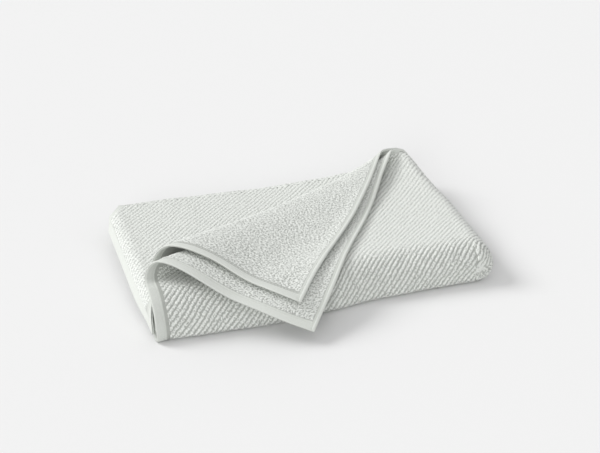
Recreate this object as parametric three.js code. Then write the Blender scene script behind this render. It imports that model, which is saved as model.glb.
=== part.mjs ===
// Folded bath towel, lying flat with one corner of its two top layers turned back.
// All sizes in millimetres, z up, the towel rests on z = 0.
import * as THREE from 'three';

// One cloth. Folded in half across its length, then in thirds across its width, then in half again.
const clothThickness = 2.6;
const layerPitch = 3.3;
const packetHalfLength = 177.5;
const backFoldLine = 112;

// Right-hand end, where the letter fold of six layers is folded in half once more.
const rightFoldStart = 336;
const rightFoldLength = 16.5 * Math.PI;
const rightFoldEnd = rightFoldStart + rightFoldLength;
const rightFoldRadius = 3 * layerPitch;
const midHeight = clothThickness / 2 + 5.5 * layerPitch;

// Where the bottom layers turn round near the left end: the fold made first.
const firstFoldAt = 712.4;
const firstFoldRadius = layerPitch / 2;

// Near side: the upper half hangs over the lower half as a soft rounded pouch down to the surface.
const pouch = {
  reach: 114.5, topRadius: 32, slope: radians(78), footRadius: 5, underRise: 8.6,
  underSlope: radians(80), underRadius: 8, fullUntil: 318, fadesOver: 18,
};
// Near side where there is no pouch: plain round folds, with their outermost reach.
const plainReach = { upper: 117, lower: 96.8 };
const plainUnder = 2;
// The lower half is set back from the pouch, from just before its turn round the right-hand end.
const setBack = { before: 10, over: 14 };
const centreFoldReach = 105.75;
const innerEdgeAt = -76;

// Turned-back corner. A row for each layer: 1 is the top one, 2 the one below it.
// hem and selvedge are where its edges lie, alongHem and alongSelvedge where its crease starts and ends.
const turned = {
  1: { hem: 2, selvedge: 5.4, alongHem: 187.1, alongSelvedge: 346.4 },
  2: { hem: 14.7, selvedge: -1.5, alongHem: 177.1, alongSelvedge: 344.4 },
};
// Roll of the crease at its left end, middle and right end, and how much wider layer 2 rolls.
const roll = {
  left: { radius: 11.1, wider: 5.0, settlesOver: 72.4 },
  middle: { radius: 5.9, wider: 3.5, settlesOver: 60 },
  right: { radius: 6.8, wider: 3.9, settlesOver: 47.4 },
};
// How the turned corner bends down over the near side.
const flapBend = { startsAt: -77.8, radius: 97.2, turn: radians(32.5) };
// Both ends of the crease stand up as open loops.
const loops = {
  left: { lift: 5.3, reach: 65.3 },
  right: { lift: 13.5, reach: 38.3 },
  beyond: 25, below: 42, above: 43,
};

// Left end of the middle layers, bent down over the ends of those below.
const droop = { startsAt: 16.5, radius: 12.7, turn: radians(70) };
// Where the hem lies in each part of the width, for the outer and the inner layer.
const hemLine = [
  { row: 0, outer: 2, inner: 14.7 },
  { row: 1, outer: 2, inner: 12 },
  { row: 2, outer: 2, inner: 7 },
  { row: 3, outer: 6, inner: 10 },
  { row: 4, outer: 17, inner: 17 },
  { row: 6, outer: 17, inner: 17 },
  { row: 7, outer: 13, inner: 13 },
  { row: 7.1, outer: -10.6, inner: -10.6 },
  { row: 8, outer: -10.6, inner: -10.6 },
];
const hemBlend = 58;

// Unevenness of the whole packet, a row for each place along it: how far the near side reaches out
// more than it would, and what share of its height the back has sunk by.
const uneven = [
  { x: -177.5, near: -1, sunk: 0 },
  { x: -119.8, near: 2, sunk: 0.02 },
  { x: -62, near: 4.5, sunk: 0.085 },
  { x: -4.3, near: -1, sunk: 0.156 },
  { x: 53.4, near: -7.5, sunk: 0.127 },
  { x: 111.2, near: -9, sunk: 0.045 },
  { x: 158.5, near: -9, sunk: 0.01 },
  { x: 180, near: -8, sunk: 0 },
];
const backPart = { from: 14, to: 106 };
const farRightCorner = { inward: 8, from: 53.4, to: 158.5 };

// Mesh: starting grid, and how far an edge may lie off the true surface before it is halved.
const edgeTolerance = 0.65;
const refineRounds = 6;

function radians(degrees) {
  return degrees * Math.PI / 180;
}

function mix(a, b, share) {
  return a + (b - a) * share;
}

function clamp01(value) {
  return Math.min(Math.max(value, 0), 1);
}

function smooth(value) {
  const v = clamp01(value);
  return v * v * (3 - 2 * v);
}

// Smooth run through three values at shares 0, 0.5 and 1.
function along(left, middle, right, share) {
  const s = clamp01(share);
  return s < 0.5 ? mix(left, middle, smooth(2 * s)) : mix(middle, right, smooth(2 * s - 1));
}

// Value of a named column in a table, between the two rows round a position.
function lookUp(rows, positionName, columnName, position) {
  let i = 0;
  while (i < rows.length - 2 && position > rows[i + 1][positionName]) i += 1;
  const from = rows[i];
  const to = rows[i + 1];
  const share = clamp01((position - from[positionName]) / (to[positionName] - from[positionName]));
  return mix(from[columnName], to[columnName], share);
}

// Walks along straight and bent stretches, then steps off to the outward (right-hand) side.
function followPath(start, stretches, distance, outward) {
  let { across, up, heading } = start;
  let left = distance;
  stretches.forEach(({ length, turn }, index) => {
    let part = index === 0 ? left : Math.max(left, 0);
    if (index < stretches.length - 1) part = Math.min(part, length);
    const bend = length > 1e-9 ? turn * part / length : 0;
    const chord = Math.abs(bend) < 1e-9 ? part : part * Math.sin(bend / 2) / (bend / 2);
    across += chord * Math.cos(heading + bend / 2);
    up += chord * Math.sin(heading + bend / 2);
    heading += bend;
    left -= length;
  });
  return { across: across + Math.sin(heading) * outward, up: up - Math.cos(heading) * outward };
}

const letterStart = { across: backFoldLine, up: 2 * layerPitch, heading: Math.PI };

// The letter fold seen from the left end, at a distance from that end: top third, near fold,
// bottom third, far fold, middle third.
function letterFold(fromLeftEnd) {
  const full = 1 - smooth((fromLeftEnd - pouch.fullUntil) / pouch.fadesOver);
  const lower = smooth((fromLeftEnd - rightFoldEnd + setBack.before) / setBack.over);
  const reach = mix(mix(plainReach.upper, plainReach.lower, lower), pouch.reach, full);
  const topRadius = mix(2 * layerPitch, pouch.topRadius, full * full);
  const slope = mix(Math.PI / 2, pouch.slope, full);
  const footRadius = mix(2 * layerPitch, pouch.footRadius, full);
  const underSlope = pouch.underSlope * full;
  const underRise = mix(plainUnder, pouch.underRise, full);
  const underBend = pouch.underRadius * underSlope + plainUnder * (1 - full);
  const underRadius = underSlope > 1e-9 ? underBend / underSlope : 0;
  const slopeLength = (4 * layerPitch - topRadius * (1 - Math.cos(slope))
    - footRadius * (Math.cos(slope) + Math.cos(underSlope))
    + underRise * Math.sin(underSlope) + underRadius * (1 - Math.cos(underSlope))) / Math.sin(slope);
  const start = layerPitch / 2 + clothThickness / 2 - reach + topRadius * Math.sin(slope)
    + slopeLength * Math.cos(slope) + footRadius * (1 - Math.sin(slope));
  const footTurn = Math.PI - slope + underSlope;
  const stretches = [
    { length: backFoldLine - start, turn: 0 },
    { length: topRadius * slope, turn: slope },
    { length: slopeLength, turn: 0 },
    { length: footRadius * footTurn, turn: footTurn },
    { length: underRise, turn: 0 },
    { length: underBend, turn: -underSlope },
  ];
  const walked = stretches.reduce((sum, { length }) => sum + length, 0);
  const under = followPath(letterStart, stretches, walked, 0).across;
  stretches.push({ length: centreFoldReach - under, turn: 0 });
  stretches.push({ length: layerPitch * Math.PI, turn: Math.PI });
  stretches.push({ length: centreFoldReach - innerEdgeAt, turn: 0 });
  return stretches;
}

// Crease of one turned layer: its left end, its direction and the side the corner is on.
function creaseOf(layer) {
  const { hem, selvedge, alongHem, alongSelvedge } = turned[layer];
  const length = Math.hypot(alongHem, alongSelvedge);
  const direction = { x: alongSelvedge / length, v: -alongHem / length };
  return { x: hem, v: selvedge + alongHem, length, direction };
}
const creases = { 1: creaseOf(1), 2: creaseOf(2) };

function fromCrease(crease, x, v) {
  const dx = x - crease.x;
  const dv = v - crease.v;
  return {
    cornerward: dx * crease.direction.v - dv * crease.direction.x,
    share: (dx * crease.direction.x + dv * crease.direction.v) / crease.length,
  };
}

// Rolls the corner of layer 1 or 2 over its crease. Heights are above the layer's own place.
function turnCorner(layer, x, v, out) {
  const crease = creases[layer];
  const place = fromCrease(crease, x, v);
  const inner = along(roll.left.radius, roll.middle.radius, roll.right.radius, place.share);
  const wider = along(roll.left.wider, roll.middle.wider, roll.right.wider, place.share);
  const radius = layer === 1 ? inner : inner + wider;
  const angle = Math.min(Math.max(place.cornerward / radius, 0), Math.PI);
  const past = Math.max(place.cornerward - Math.PI * radius, 0);
  const shift = place.cornerward > 0 ? (radius - out) * Math.sin(angle) - past - place.cornerward : 0;
  const moved = { x: x + shift * crease.direction.v, v: v - shift * crease.direction.x };
  const now = fromCrease(creases[1], moved.x, moved.v);
  let height = radius - (radius - out) * Math.cos(angle) - out;
  if (angle >= Math.PI) {
    const under = along(roll.left.radius, roll.middle.radius, roll.right.radius, now.share);
    const over = mix(roll.left.settlesOver, roll.right.settlesOver, clamp01(now.share));
    const settled = smooth(Math.max(-now.cornerward, 0) / over);
    height = mix(2 * under, layerPitch, settled) - 2 * out;
    if (layer === 2) height += layerPitch * (1 + settled) + (2 * (radius - under) - layerPitch) * (1 - settled);
  }
  return { ...moved, height, angle, ...now };
}

function loopLift(state) {
  const length = creases[1].length;
  const spread = state.angle > 1.5 ? loops.above : loops.below;
  const across = Math.exp(-((Math.max(state.cornerward, 0) / loops.beyond) ** 2)
    - (Math.min(state.cornerward, 0) / spread) ** 2);
  const right = loops.right.lift * Math.exp(-((Math.max(1 - state.share, 0) * length / loops.right.reach) ** 2));
  const left = loops.left.lift * Math.exp(-((Math.max(state.share, 0) * length / loops.left.reach) ** 2));
  return (right + left) * across;
}

// Bends the letter fold round the right end, or down over the left end.
function outerFold(fromLeftEnd, up, drooping) {
  if (drooping && fromLeftEnd < droop.startsAt) {
    const beyond = droop.startsAt - fromLeftEnd;
    const angle = Math.min(beyond / droop.radius, droop.turn);
    const straight = Math.max(beyond - droop.radius * droop.turn, 0);
    const centre = layerPitch / 2 - droop.radius;
    const radius = up - centre;
    return {
      x: droop.startsAt - packetHalfLength - radius * Math.sin(angle) - straight * Math.cos(angle),
      z: midHeight + rightFoldRadius + centre + radius * Math.cos(angle) - straight * Math.sin(angle),
      angle: 0,
    };
  }
  const angle = Math.PI * clamp01((fromLeftEnd - rightFoldStart) / rightFoldLength);
  const back = Math.max(fromLeftEnd - rightFoldEnd, 0);
  const radius = rightFoldRadius + up;
  return {
    x: Math.min(fromLeftEnd, rightFoldStart) - back - packetHalfLength + radius * Math.sin(angle),
    z: midHeight + radius * Math.cos(angle),
    angle,
  };
}

// The whole packet is a little uneven: bowed near side, sagging middle of the back, far corner pulled in.
function unevenness({ x, y, z }) {
  const nearness = smooth(-y / 115);
  const farness = clamp01((y - backPart.from) / (backPart.to - backPart.from));
  const rightness = clamp01((x - farRightCorner.from) / (farRightCorner.to - farRightCorner.from));
  return new THREE.Vector3(
    x - farRightCorner.inward * farness * rightness,
    y - nearness * lookUp(uneven, 'x', 'near', x),
    z * (1 - farness * lookUp(uneven, 'x', 'sunk', x)),
  );
}

// Distance across the width for a row number. Whole numbers are where one stretch meets the next.
function widthAt(row, fromLeftEnd, layer) {
  const stretches = letterFold(fromLeftEnd);
  const cornerRows = 194.1;
  const ends = [turned[layer].selvedge, cornerRows];
  let sum = stretches[0].length + stretches[1].length + stretches[2].length;
  ends.push(sum);
  for (let i = 3; i < stretches.length; i += 1) {
    sum += stretches[i].length;
    ends.push(sum);
  }
  const i = Math.min(Math.floor(row), ends.length - 2);
  return mix(ends[i], ends[i + 1], row - i);
}

// Point of the evenly folded cloth: column is the distance along it, row the place across it,
// side +1 or -1 a face.
function foldedPoint(column, row, side) {
  const foldLength = firstFoldRadius * Math.PI;
  const out = side * clothThickness / 2;
  const bend = Math.PI * clamp01((column - firstFoldAt) / foldLength);
  const layer = bend > Math.PI / 2 ? 1 : 2;
  let x = Math.min(column, firstFoldAt, 2 * firstFoldAt + foldLength - column);
  if (x < hemBlend) {
    const hem = lookUp(hemLine, 'row', layer === 1 ? 'outer' : 'inner', row);
    x = hem + x * (hemBlend - hem) / hemBlend;
  }
  const v = widthAt(row, x, layer);
  x += (firstFoldRadius + out) * Math.sin(bend);
  const above = -(firstFoldRadius + out) * Math.cos(bend);
  const state = turnCorner(layer, x, v, layer === 1 ? out : -out);
  const height = above + state.height;
  const packet = followPath(letterStart, letterFold(state.x), state.v, height);
  const flapStretches = [
    { length: backFoldLine - flapBend.startsAt, turn: 0 },
    { length: flapBend.radius * flapBend.turn, turn: flapBend.turn },
    { length: 50, turn: 0 },
  ];
  const flap = followPath(letterStart, flapStretches, state.v, height);
  const over = smooth(state.angle / Math.PI);
  const y = mix(packet.across, flap.across, over);
  const folded = outerFold(state.x, mix(packet.up, flap.up, over), row > 6.5);
  const lift = loopLift(state) * clamp01(folded.z / (2 * midHeight)) * smooth(1 - folded.angle / 2);
  return new THREE.Vector3(folded.x, y, folded.z + lift);
}

// Starting grid in columns and rows.
function spread(from, to, parts) {
  return Array.from({ length: parts }, (_, i) => mix(from, to, i / parts));
}
const cornerColumns = spread(0, turned[1].alongSelvedge, 6);
const topColumns = [...cornerColumns, 305, 316, 326];
const turnColumns = spread(rightFoldStart, rightFoldEnd, 7);
const lowColumns = [rightFoldEnd, ...cornerColumns.slice(1).reverse()].map((c) => (
  c === rightFoldEnd ? c : rightFoldEnd + rightFoldStart - c));
const halfColumns = [...topColumns, ...turnColumns, ...lowColumns];
const wholeLength = 2 * firstFoldAt + firstFoldRadius * Math.PI;
const columns = [
  ...halfColumns,
  ...spread(firstFoldAt, wholeLength - firstFoldAt, 4),
  wholeLength - firstFoldAt,
  ...halfColumns.map((c) => wholeLength - c).reverse(),
];
const rows = [
  ...spread(0, 1, 6), 1, ...spread(2, 3, 5), 3, 4, 4.5, 5, 5.55, ...spread(6, 7, 5), 7, 7.1, 7.5, 8,
];

const knots = [];
const faces = new Map([[1, []], [-1, []]]);
function addKnot(column, row) {
  knots.push([column, row]);
  faces.get(1).push(foldedPoint(column, row, 1));
  faces.get(-1).push(foldedPoint(column, row, -1));
  return knots.length - 1;
}
const grid = columns.map((column) => rows.map((row) => addKnot(column, row)));
let triangles = [];
for (let i = 0; i + 1 < columns.length; i += 1) {
  for (let j = 0; j + 1 < rows.length; j += 1) {
    const [a, b, c, d] = [grid[i][j], grid[i + 1][j], grid[i + 1][j + 1], grid[i][j + 1]];
    // The diagonals of all layers run the way the crease does, seen from above.
    const second = columns[i] > wholeLength / 2;
    const below = Math.min(columns[i], wholeLength - columns[i + 1]) >= rightFoldEnd;
    const backward = rows[j] >= 4 && rows[j] < 6.5;
    if ([second, below, backward].filter(Boolean).length % 2 === 0) triangles.push([a, b, d], [b, c, d]);
    else triangles.push([a, b, c], [a, c, d]);
  }
}

// True when the straight edge between two knots leaves the folded surface by more than the tolerance.
function isBent(a, b) {
  return [1, -1].some((side) => [0.25, 0.5, 0.75].some((share) => {
    const onSurface = foldedPoint(mix(knots[a][0], knots[b][0], share), mix(knots[a][1], knots[b][1], share), side);
    const points = faces.get(side);
    return new THREE.Line3(points[a], points[b])
      .closestPointToPoint(onSurface, true, new THREE.Vector3())
      .distanceTo(onSurface) > edgeTolerance;
  }));
}

for (let round = 0; round < refineRounds; round += 1) {
  const middles = new Map();
  const middleOf = (a, b) => {
    const key = a < b ? `${a} ${b}` : `${b} ${a}`;
    if (!middles.has(key)) {
      const column = (knots[a][0] + knots[b][0]) / 2;
      middles.set(key, isBent(a, b) ? addKnot(column, (knots[a][1] + knots[b][1]) / 2) : -1);
    }
    return middles.get(key);
  };
  triangles = triangles.flatMap(([a, b, c]) => {
    const m = [middleOf(a, b), middleOf(b, c), middleOf(c, a)];
    const split = m.filter((k) => k >= 0).length;
    if (split === 0) return [[a, b, c]];
    if (split === 3) return [[a, m[0], m[2]], [m[0], b, m[1]], [m[2], m[1], c], [m[0], m[1], m[2]]];
    const corner = [a, b, c];
    const turnBy = split === 1 ? m.findIndex((k) => k >= 0) : (m.findIndex((k) => k < 0) + 1) % 3;
    const [p, q, r] = [0, 1, 2].map((k) => corner[(k + turnBy) % 3]);
    const [pq, qr] = [0, 1].map((k) => m[(k + turnBy) % 3]);
    if (split === 1) return [[p, pq, r], [pq, q, r]];
    return [[pq, q, qr], [p, pq, qr], [p, qr, r]];
  });
}

// Two faces and, along every edge that only one triangle has, the rim between them.
const count = knots.length;
const edgeCount = new Map();
triangles.forEach(([a, b, c]) => [[a, b], [b, c], [c, a]].forEach(([p, q]) => {
  const key = p < q ? `${p} ${q}` : `${q} ${p}`;
  edgeCount.set(key, (edgeCount.get(key) ?? 0) + 1);
}));
const solid = [];
triangles.forEach(([a, b, c]) => {
  solid.push(a, b, c, count + a, count + c, count + b);
  [[a, b], [b, c], [c, a]].forEach(([p, q]) => {
    if (edgeCount.get(p < q ? `${p} ${q}` : `${q} ${p}`) > 1) return;
    solid.push(q, p, count + p, q, count + p, count + q);
  });
});
const points = [...faces.get(1), ...faces.get(-1)].map(unevenness);

// Outward-facing: the volume under all triangles is positive.
let volume = 0;
for (let i = 0; i < solid.length; i += 3) {
  const [a, b, c] = [points[solid[i]], points[solid[i + 1]], points[solid[i + 2]]];
  volume += a.dot(new THREE.Vector3().crossVectors(b, c)) / 6;
}
if (volume < 0) {
  for (let i = 0; i < solid.length; i += 3) [solid[i], solid[i + 1]] = [solid[i + 1], solid[i]];
}

const geometry = new THREE.BufferGeometry().setFromPoints(points);
geometry.setIndex(solid);
geometry.computeBoundingBox();
const box = geometry.boundingBox;
geometry.translate(-(box.min.x + box.max.x) / 2, -(box.min.y + box.max.y) / 2, -box.min.z);
geometry.computeVertexNormals();

const terry = new THREE.MeshStandardMaterial({ color: 0xd8dbd4, roughness: 0.95, metalness: 0 });
terry.name = 'cotton_terry';
const towel = new THREE.Mesh(geometry, terry);
towel.name = 'towel';

const product = new THREE.Group();
product.name = 'folded_bath_towel';
product.add(towel);
export default product;
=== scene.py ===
# %% [markdown]
# # A folded bath towel
#
# The towel is one cloth, about 66 by 140 cm, of cotton terry: a woven ground with a short looped
# pile on both faces. It is folded in half, then in thirds across its width, then in half again, and
# one corner of its two top layers is turned back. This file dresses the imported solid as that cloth.
# The folding is worked out in millimetres, and everything is in metres in the end.

import math

import bpy
import numpy as np
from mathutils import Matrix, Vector


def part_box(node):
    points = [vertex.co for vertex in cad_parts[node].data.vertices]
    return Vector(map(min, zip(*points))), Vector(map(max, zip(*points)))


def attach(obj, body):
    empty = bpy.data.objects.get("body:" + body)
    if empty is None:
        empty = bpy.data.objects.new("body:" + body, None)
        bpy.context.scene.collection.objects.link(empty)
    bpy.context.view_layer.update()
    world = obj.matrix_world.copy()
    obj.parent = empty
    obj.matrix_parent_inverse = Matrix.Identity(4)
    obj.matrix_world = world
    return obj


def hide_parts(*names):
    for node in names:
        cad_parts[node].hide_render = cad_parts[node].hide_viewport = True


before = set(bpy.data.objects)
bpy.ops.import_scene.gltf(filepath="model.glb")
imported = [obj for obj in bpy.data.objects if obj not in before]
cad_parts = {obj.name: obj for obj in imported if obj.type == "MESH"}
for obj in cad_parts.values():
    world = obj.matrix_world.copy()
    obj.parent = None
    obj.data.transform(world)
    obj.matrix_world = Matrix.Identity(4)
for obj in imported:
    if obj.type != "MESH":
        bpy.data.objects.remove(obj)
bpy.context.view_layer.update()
low, high = (np.array(corner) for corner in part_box("towel"))
rng = np.random.default_rng(12)
print("towel, mm:", np.round((high - low) * 1000, 1))

# %% [markdown]
# ## Sizes of the cloth and of its main folds
#
# A real towel could be draped by a simulation, but its folds were pressed by hand, in a known order.
# So the cloth is folded by arithmetic: each fold is a walk along straight and bent stretches. That
# way every point of the flat cloth has one place in the folded towel, and the pattern woven into the
# cloth goes round each fold with it. All sizes below are in millimetres.

# %% Cloth and main folds
LAYERS = 12
CLOTH = 2.6
PITCH = 3.3
HALF_LENGTH = 177.5
BACK_LINE = 112.0
MID_HEIGHT = CLOTH / 2 + (LAYERS - 1) / 2 * PITCH

# The last fold in half goes round the right-hand end. Distances along the cloth start at the left.
TURN_START = 336.0
TURN_RADIUS = 3 * PITCH
TURN_MIDDLE_RADIUS = 5 * PITCH
TURN_OUTSIDE_RADIUS = 19.45
TURN_LENGTH = TURN_MIDDLE_RADIUS * math.pi
TURN_END = TURN_START + TURN_LENGTH

# The first fold in half, in the middle of the cloth.
FIRST_FOLD = 716.5
FIRST_RADIUS = PITCH / 2
FIRST_LENGTH = FIRST_RADIUS * math.pi
WHOLE_LENGTH = 2 * FIRST_FOLD + FIRST_LENGTH

# The middle third lies between the far fold and its inner edge.
FAR_FOLD = 105.75
INNER_EDGE = -89.0
MIDDLE_WIDTH = FAR_FOLD - INNER_EDGE
print("length of the cloth, mm:", round(WHOLE_LENGTH))

# %% [markdown]
# ## Sizes of the near side
#
# On the real towel the near side of the upper half hangs loosely over the lower half as a pouch. Its
# shoulder gets tighter towards the right-hand end, and there it comes down as a soft dome. A bulge
# could be sculpted by hand, but arcs with named radii keep the length of the cloth under control.

# %% Near side
POUCH = dict(reach=114.5, top=32, slope=math.radians(78), foot=5, rise=8.6,
             under=math.radians(80), bend=8, full_until=334, fades=2.5)
PLAIN = dict(upper=114.5, lower=96.8, under=2)
SHOULDER = dict(start=250, over=70, top=19, slope=math.radians(84))
DOME = dict(slope=math.radians(48), foot=3.6, side=0.8, full_until=TURN_START + 0.35 * TURN_LENGTH,
            fades=0.4 * TURN_LENGTH)
SET_BACK = 12
print("pouch reaches, mm:", POUCH["reach"])

# %% [markdown]
# ## Sizes of the turned-back corner
#
# The two top layers are turned back together. Each has its own slanting crease, given by where it
# meets the two edges of its layer. Radii are given at the left end, the middle and the right end of
# the crease, because the real roll is wide at the left, pressed in the middle and open at the right.

# %% Turned corner
TURNED = {
    1: dict(hem=2.0, selvedge=5.4, along_hem=187.1, along_selvedge=346.4),
    2: dict(hem=14.7, selvedge=-1.5, along_hem=177.1, along_selvedge=344.4),
}
ROLL_RADIUS = (11.1, 5.9, 6.8)
ROLL_WIDER = (5.0, 3.5, 3.9)
SETTLES = (72.4, 47.4)
FLAP = dict(start=-77.8, radius=97.2, turn=math.radians(32.5), beyond=50)
LIFT = dict(left=5.3, left_reach=65.3, right=13.5, right_reach=38.3, beyond=25, below=42, above=43,
            over_the_top=1.5)
# The free edges stand a little off what is under them.
EDGE_RAISED = {1: 1.6, 2: 3.4}
RAISED = dict(over=11.0, start=5, rises=35)
# At the right-hand loop the edge of the inner turned layer spreads outwards.
FLARE = dict(by=5.0, from_edge=22.0, from_crease=22.0, start=0.8, over=0.15)
print("turned layers:", len(TURNED))

# %% [markdown]
# ## Sizes of the left end
#
# Here the end hems show. Those of the middle third droop over the layers under them, more steeply
# and lower towards the near side. A table gives where the hem of each top layer stands, on numbered
# rows across the cloth: 0 at the selvedge, 1 where the turned corner ends, 2 to 5 at the foot of the
# near side and under it, 6 and 7 before and after the far fold, and 8 at the inner edge.

# %% Left end
DROOP = dict(start=14.0, radius=12.7, turn=math.radians(70), near_turn=math.radians(87),
             near_from=40, near_over=60, reach=17.0, reach_from=6, reach_over=10, first_row=6.5)
HEM_ROWS = (0, 1, 2, 3, 4, 5, 5.3, 6, 7, 7.1, 8)
HEM_OUTER = (2, 2, 2, 2, 2, 3, 17, 17, 13, -10.6, -18)
HEM_INNER = (14.7, 12, 7, 5, 4, 5, 17, 17, 13, -10.6, -17)
HEM_BLEND = 58.0
CORNER_ROWS = 194.1
LAST_ROW = HEM_ROWS[-1]
print("rows across:", LAST_ROW)

# %% [markdown]
# ## Sizes of the unevenness
#
# The near side of the real towel bows in and out a little and its back has sunk. Two short tables
# give, along the towel, how far the near side reaches out and what share of its height the back lost.

# %% Unevenness
ALONG = (-177.5, -119.8, -62, -4.3, 53.4, 111.2, 158.5, 180)
NEAR = (-1, 2, 4.5, -1, -7.5, -9, -9, -8)
SUNK = (0, 0.02, 0.085, 0.156, 0.127, 0.045, 0.01, 0)
NEAR_PART = 115
BACK_PART = (14, 106)
FAR_RIGHT = dict(inward=8, start=53.4, end=158.5)
print("the back has sunk by up to", max(SUNK), "of its height")

# %% [markdown]
# ## Helpers
#
# Cloth changes gently from one place to the next, so nearly everything below is blended with the
# same soft step. Straight blends would leave lines in the cloth that the real one doesn't have.

# %% Small helpers
TINY = 1e-9


def smooth(value):
    value = np.clip(value, 0, 1)
    return value * value * (3 - 2 * value)


def mix(a, b, share):
    return a + (b - a) * share


def bell(distance, width):
    """1 at no distance, fading to nothing on both sides."""
    return np.exp(-((distance / width) ** 2))


def three(values, share):
    """Blend of three values, given at shares 0, a half and 1."""
    share = np.clip(share, 0, 1)
    left, middle, right = values
    first = mix(left, middle, smooth(2 * share))
    second = mix(middle, right, smooth(2 * share - 1))
    return np.where(share < 0.5, first, second)


print("half-way of the soft step:", smooth(0.5))

# %% [markdown]
# ## Walking along a fold
#
# A path is a start, a heading and a list of stretches, each with a length and a turn. The walk stops
# at a distance and steps off sideways, so the layers of one fold stay side by side all the way.

# %% The walk
LETTER_START = (BACK_LINE, 2 * PITCH, math.pi)


def follow(start, stretches, distance, outward):
    distance = np.asarray(distance, float)
    across = start[0] + 0 * distance
    up = start[1] + 0 * distance
    heading = start[2] + 0 * distance
    left = distance.copy()
    for index, (length, turn) in enumerate(stretches):
        part = left if index == 0 else np.maximum(left, 0)
        if index < len(stretches) - 1:
            part = np.minimum(part, length)
        bend = turn * part / np.maximum(length, TINY)
        chord = part * np.sinc(bend / 2 / math.pi)
        across = across + chord * np.cos(heading + bend / 2)
        up = up + chord * np.sin(heading + bend / 2)
        heading = heading + bend
        left = left - length
    return across + np.sin(heading) * outward, up - np.cos(heading) * outward


print("the walk starts at, mm:", np.round(LETTER_START[:2], 1))

# %% [markdown]
# ## The fold in thirds
#
# Seen from the left end: the top third, the near side, the bottom third, the far side and the middle
# third. The near side is the pouch up to the right-hand fold, and then the dome that goes round it.

# %% Letter fold
def letter_fold(x):
    """Stretches of the fold in thirds at a distance x along the cloth."""
    full = 1 - smooth((x - POUCH["full_until"]) / POUCH["fades"])
    dome = 1 - smooth((x - DOME["full_until"]) / DOME["fades"])
    lower = smooth((x - TURN_END) / SET_BACK)
    reach = mix(mix(PLAIN["upper"], PLAIN["lower"], lower), POUCH["reach"], full)
    plain_slope = mix(math.pi / 2, DOME["slope"], dome)
    plain_foot = mix(2 * PITCH, DOME["foot"], dome)
    plain_top = (4 * PITCH - DOME["side"] * dome * np.sin(plain_slope)
                 - plain_foot * (1 + np.cos(plain_slope))) / (1 - np.cos(plain_slope))
    tight = smooth((x - SHOULDER["start"]) / SHOULDER["over"])
    top = mix(plain_top, mix(POUCH["top"], SHOULDER["top"], tight), full ** 3)
    slope = mix(plain_slope, mix(POUCH["slope"], SHOULDER["slope"], tight), full)
    foot = mix(plain_foot, POUCH["foot"], full)
    under = POUCH["under"] * full
    rise = mix(PLAIN["under"], POUCH["rise"], full)
    under_length = POUCH["bend"] * under + PLAIN["under"] * (1 - full)
    under_radius = np.where(under > TINY, under_length / np.maximum(under, TINY), 0)
    side = (4 * PITCH - top * (1 - np.cos(slope)) - foot * (np.cos(slope) + np.cos(under))
            + rise * np.sin(under) + under_radius * (1 - np.cos(under))) / np.sin(slope)
    side = np.maximum(side, 0)
    start = (PITCH / 2 + CLOTH / 2 - reach + top * np.sin(slope) + side * np.cos(slope)
             + foot * (1 - np.sin(slope)))
    foot_turn = math.pi - slope + under
    stretches = [(BACK_LINE - start, 0 * x), (top * slope, slope), (side, 0 * x),
                 (foot * foot_turn, foot_turn), (rise, 0 * x), (under_length, -under)]
    walked = sum(length for length, _ in stretches)
    there, _ = follow(LETTER_START, stretches, walked, 0)
    further = DROOP["reach"] * smooth((DROOP["reach_from"] - x) / DROOP["reach_over"])
    stretches.append((FAR_FOLD - there, 0 * x))
    stretches.append((PITCH * math.pi + 0 * x, math.pi + 0 * x))
    stretches.append((MIDDLE_WIDTH + further, 0 * x))
    return stretches


halfway = letter_fold(np.array([HALF_LENGTH]))
print("width of the cloth, mm:", round(float(sum(length for length, _ in halfway)[0])))

# %% [markdown]
# Rows number the width of the cloth by its folds. So a row stays on its fold, though folds wander.

# %% Rows across the cloth
def width_ends(x, layer):
    """Distance across the cloth at which each numbered row lies."""
    stretches = letter_fold(x)
    walked = sum(length for length, _ in stretches[:3])
    ends = [TURNED[layer]["selvedge"] + 0 * x, CORNER_ROWS + 0 * x, walked]
    for length, _ in stretches[3:]:
        walked = walked + length
        ends.append(walked)
    return ends


def width_at(row, x, layer):
    ends = np.stack(np.broadcast_arrays(*width_ends(x, layer)))
    lower = np.clip(np.floor(row).astype(int), 0, len(ends) - 2)
    each = np.arange(len(x))
    return mix(ends[lower, each], ends[lower + 1, each], row - lower)


row_ends = [round(float(end[0])) for end in width_ends(np.array([HALF_LENGTH]), 1)]
print("rows lie at, mm:", row_ends)

# %% [markdown]
# ## Turning the corner back
#
# The two top layers roll over a slanting crease. The lower of the two rolls wider, so it ends up on
# top, and both ends of the crease stand open as loops. A sharp crease would be simpler, but thick
# terry never lies so flat, and the open loops are what one sees first.

# %% Turning the corner
def crease_of(layer):
    t = TURNED[layer]
    length = math.hypot(t["along_hem"], t["along_selvedge"])
    return dict(x=t["hem"], v=t["selvedge"] + t["along_hem"], length=length,
                dx=t["along_selvedge"] / length, dv=-t["along_hem"] / length)


CREASE = {layer: crease_of(layer) for layer in TURNED}


def from_crease(crease, x, v):
    """Distance from the crease towards the corner, and share of the way along it."""
    x = x - crease["x"]
    v = v - crease["v"]
    return x * crease["dv"] - v * crease["dx"], (x * crease["dx"] + v * crease["dv"]) / crease["length"]


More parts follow.
